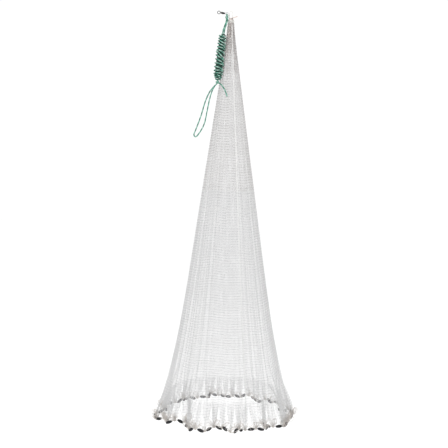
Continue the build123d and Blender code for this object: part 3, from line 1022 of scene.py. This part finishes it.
def make_lacing():
    """The seam down the front, the two rows that join the tiers, and the tuck strings."""
    z = np.arange(SEAM_TOP_Z, SEAM_FOOT_Z, -SEAM_STITCH)
    middle = net_points(np.full(len(z), SEAM_AZIMUTH), z, inset=-0.0012)
    side = np.array([-math.sin(SEAM_AZIMUTH), math.cos(SEAM_AZIMUTH), 0.0])
    parts = [thin_tube(middle + side * offset, 0.0006) for offset in (-SEAM_HALF_WIDTH, SEAM_HALF_WIDTH)]
    zigzag = middle + side * (SEAM_HALF_WIDTH * np.where(np.arange(len(z)) % 2, 1, -1))[:, None]
    parts.append(thin_tube(zigzag, 0.0008))
    make_piece("seam_lacing", parts, MATERIALS["lacing"], "net", ["side_seam"])
    for name, height in (("upper_join", UPPER_JOIN_Z), ("lower_join", LOWER_JOIN_Z)):
        parts = [
            ring_of_lacing(height, 0.0, 0.00038, -0.0005),
            ring_of_lacing(height, RING_ZIGZAG, 0.00030, -0.0007),
        ]
        make_piece(name + "_lacing", parts, MATERIALS["lacing"], "net", [name])
    angles = np.arange(STRING_COUNT) * TAU / STRING_COUNT
    x = STRING_FOOT_RADIUS * np.cos(angles)
    y = STRING_FOOT_RADIUS * np.sin(angles)
    fold_top = np.stack([x, y, np.full(STRING_COUNT, FOLD_TOP_Z)], 1)
    wall = net_points(angles, np.full(STRING_COUNT, STRING_TOP_Z), inset=0.001)
    strings = [bars(fold_top, wall, STRING_TWINE, 5)]
    make_piece("tuck_string_twine", strings, MATERIALS["lacing"], "net", ["tuck_strings"])


def make_neck():
    """The bunched strands of the neck round a core; the strands at the right have a darker, browner material,
    a painted shade.
    """
    strands = []
    for _ in range(NECK_STRANDS):
        angle = rng.uniform(0, TAU)
        reach = NECK_REACH * math.sqrt(rng.uniform(0.35, 1))
        foot = STRAND_FOOT_Z - STRAND_LENGTH_VARIES * rng.uniform(0, 1) ** 2
        z = np.linspace(foot, rng.uniform(*STRAND_TOP_Z), 24)
        share = np.clip((z - NECK_FOOT_Z) / NECK_DRAW_HEIGHT, 0, 1)
        drawn = reach * (1 - NECK_DRAW * share**2)
        radius = np.where(z < NECK_FOOT_Z, net_radius(z) * reach / NECK_REACH, drawn)
        turn = angle + STRAND_SWAY / np.maximum(radius, 0.009) * np.sin(z * 90 + angle * 3)
        line = np.stack([radius * np.cos(turn), radius * np.sin(turn), z], 1)
        # the strands at the right get the darker material: a painted shade
        shaded = -1.2 < (angle + math.pi) % TAU - math.pi < 0.9
        strands.append((*thin_tube(line, NECK_TWINE), int(shaded)))
    materials = [MATERIALS["neck"], MATERIALS["neck_shade"]]
    make_piece("neck_strands", strands, materials, "net", ["net_crown"])
    z = np.linspace(-0.078, -0.029, 20)
    core = np.stack([np.zeros(20), np.zeros(20), z], 1)
    width = np.interp(z, [-0.078, -0.06, -0.045, -0.034, -0.029], [0.004, 0.0085, 0.0098, 0.0085, 0.004])
    make_piece("neck_core", [tube(core, width, 16)], MATERIALS["neck"], "net", ())


def cord_piece(name, parts, replaced, material="cord"):
    make_piece(name, parts, MATERIALS[material], "net", [replaced])


def make_head():
    """The neck, its whipping, the head loop, the swivel's tie and the seam cord's end."""
    make_neck()
    coil = np.linspace(0, TAU * WHIPPING_TURNS, WHIPPING_POINTS)
    height = WHIPPING_TOP_Z - WHIPPING_HEIGHT * coil / coil[-1]
    winding = np.stack([WHIPPING_RADIUS * np.cos(coil), WHIPPING_RADIUS * np.sin(coil), height], 1)
    turns = twisted(winding, offset=0.0004, radius=0.00055, pitch=0.006, strands=2, sides=5)
    cord_piece("whipping_turns", turns, "head_whipping")
    left = [(-x, y, z) for x, y, z in HEAD_LOOP_SIDE]
    loop = smooth_line(left + HEAD_LOOP_SIDE[::-1], ROPE_STEP)
    cord_piece("head_loop_cord", twisted(loop, offset=0.0008, radius=0.0009, pitch=0.008), "head_loop")
    tie = smooth_line(SWIVEL_TIE_ROUTE, CORD_STEP)
    cord_piece("swivel_tie_cord", twisted(tie, offset=0.0005, radius=0.0006, pitch=0.005), "swivel_tie")
    end = smooth_line(SEAM_END_ROUTE, CORD_STEP)
    cord_piece("seam_cord_end", twisted(end, offset=0.0012, radius=0.0013, pitch=0.012), "seam_tail", "beige")


def finish_cad_nodes():
    """Materials for the CAD nodes that are shown as they are."""
    for name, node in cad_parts.items():
        if name.startswith("leads_"):
            material = MATERIALS["lead"]
        elif name in ("swivel_barrel", "swivel_net_eye"):
            material = MATERIALS["black_steel"]
        elif name == "swivel_rope_eye":
            material = MATERIALS["bright_steel"]
        else:
            continue
        node.data.materials.clear()
        node.data.materials.append(material)


# ---- stage ----
def make_stage():
    """A pale floor far below the net, a white world and two soft lamps."""
    floor = bpy.data.meshes.new("floor")
    corners = [(x, y, FLOOR_Z) for x, y in ((-30, -30), (30, -30), (30, 30), (-30, 30))]
    floor.from_pydata(corners, [], [(0, 1, 2, 3)])
    ground = bpy.data.objects.new("floor", floor)
    m = Nodes("pale_floor")
    m.set(m.shader, "Base Color", rgb(0.98, 0.98, 0.98))
    m.set(m.shader, "Roughness", 0.9)
    floor.materials.append(m.material)
    bpy.context.scene.collection.objects.link(ground)
    world = bpy.context.scene.world or bpy.data.worlds.new("world")
    bpy.context.scene.world = world
    world.use_nodes = True
    background = world.node_tree.nodes["Background"]
    background.inputs["Color"].default_value = (1, 1, 1, 1)
    background.inputs["Strength"].default_value = 1.04
    bpy.context.scene.view_settings.view_transform = "Standard"
    lamps = (("key", (-2.4, -3.2, 1.2), 2.0, 60), ("fill", (3.0, -2.0, 0.2), 2.5, 20))
    for name, place, size, power in lamps:
        light = bpy.data.lights.new(name, "AREA")
        light.size = size
        light.energy = power
        lamp = bpy.data.objects.new(name, light)
        lamp.location = place
        lamp.rotation_mode = "QUATERNION"
        lamp.rotation_quaternion = (Vector((0, 0, -0.8)) - Vector(place)).to_track_quat("-Z", "Y")
        bpy.context.scene.collection.objects.link(lamp)


MATERIALS = {
    "yarns": [
        braid_yarn("white_yarn", (0.42, 0.66, 0.56), (0.72, 0.88, 0.80)),
        braid_yarn("mint_yarn", (0.10, 0.42, 0.31), (0.28, 0.66, 0.50)),
        braid_yarn("green_yarn", (0.015, 0.14, 0.095), (0.060, 0.30, 0.205)),
        braid_yarn("dark_green_yarn", (0.003, 0.030, 0.020), (0.012, 0.080, 0.054)),
    ],
    "lead": lead_material(),
    "black_steel": steel_material("black_nickel", (0.012, 0.012, 0.013), (0.05, 0.05, 0.05), 0.8),
    "bright_steel": steel_material("bright_wire", (0.45, 0.45, 0.45), (0.70, 0.70, 0.70), 1.0),
    "cord": yarn_material("white_cord", (0.62, 0.61, 0.58), (0.86, 0.85, 0.82)),
    "beige": yarn_material("beige_cord", (0.58, 0.48, 0.44), (0.82, 0.72, 0.67)),
    "lead_line": yarn_material("grey_line", (0.46, 0.44, 0.41), (0.70, 0.68, 0.65)),
    "lashing": yarn_material("lashing_twine", (0.44, 0.41, 0.38), (0.74, 0.71, 0.67)),
    "neck": yarn_material("gathered_nylon", (0.50, 0.41, 0.37), (0.76, 0.67, 0.62)),
    # a darker brown for the strands at the neck's right: a painted shade
    "neck_shade": yarn_material("gathered_nylon_painted_shade", (0.27, 0.21, 0.19), (0.48, 0.40, 0.37)),
    "crown": [
        plain("crown_monofilament", (0.645, 0.637, 0.633), 0.35),
        plain("crown_knots", (0.42, 0.41, 0.41), 0.4),
    ],
    "skirt": [
        plain("skirt_monofilament", (0.68, 0.68, 0.68), 0.35),
        plain("skirt_knots", (0.46, 0.46, 0.47), 0.4),
    ],
    "loops": plain("loop_monofilament", (0.60, 0.56, 0.53), 0.25, 0.7),
    "lacing": plain("white_lacing", (0.85, 0.85, 0.84), 0.5),
}

make_camera()
make_hand_rope()
make_short_ropes()
make_knots()
lowest_knots = make_netting()
make_hem(lowest_knots)
make_lacing()
make_head()
finish_cad_nodes()
make_stage()
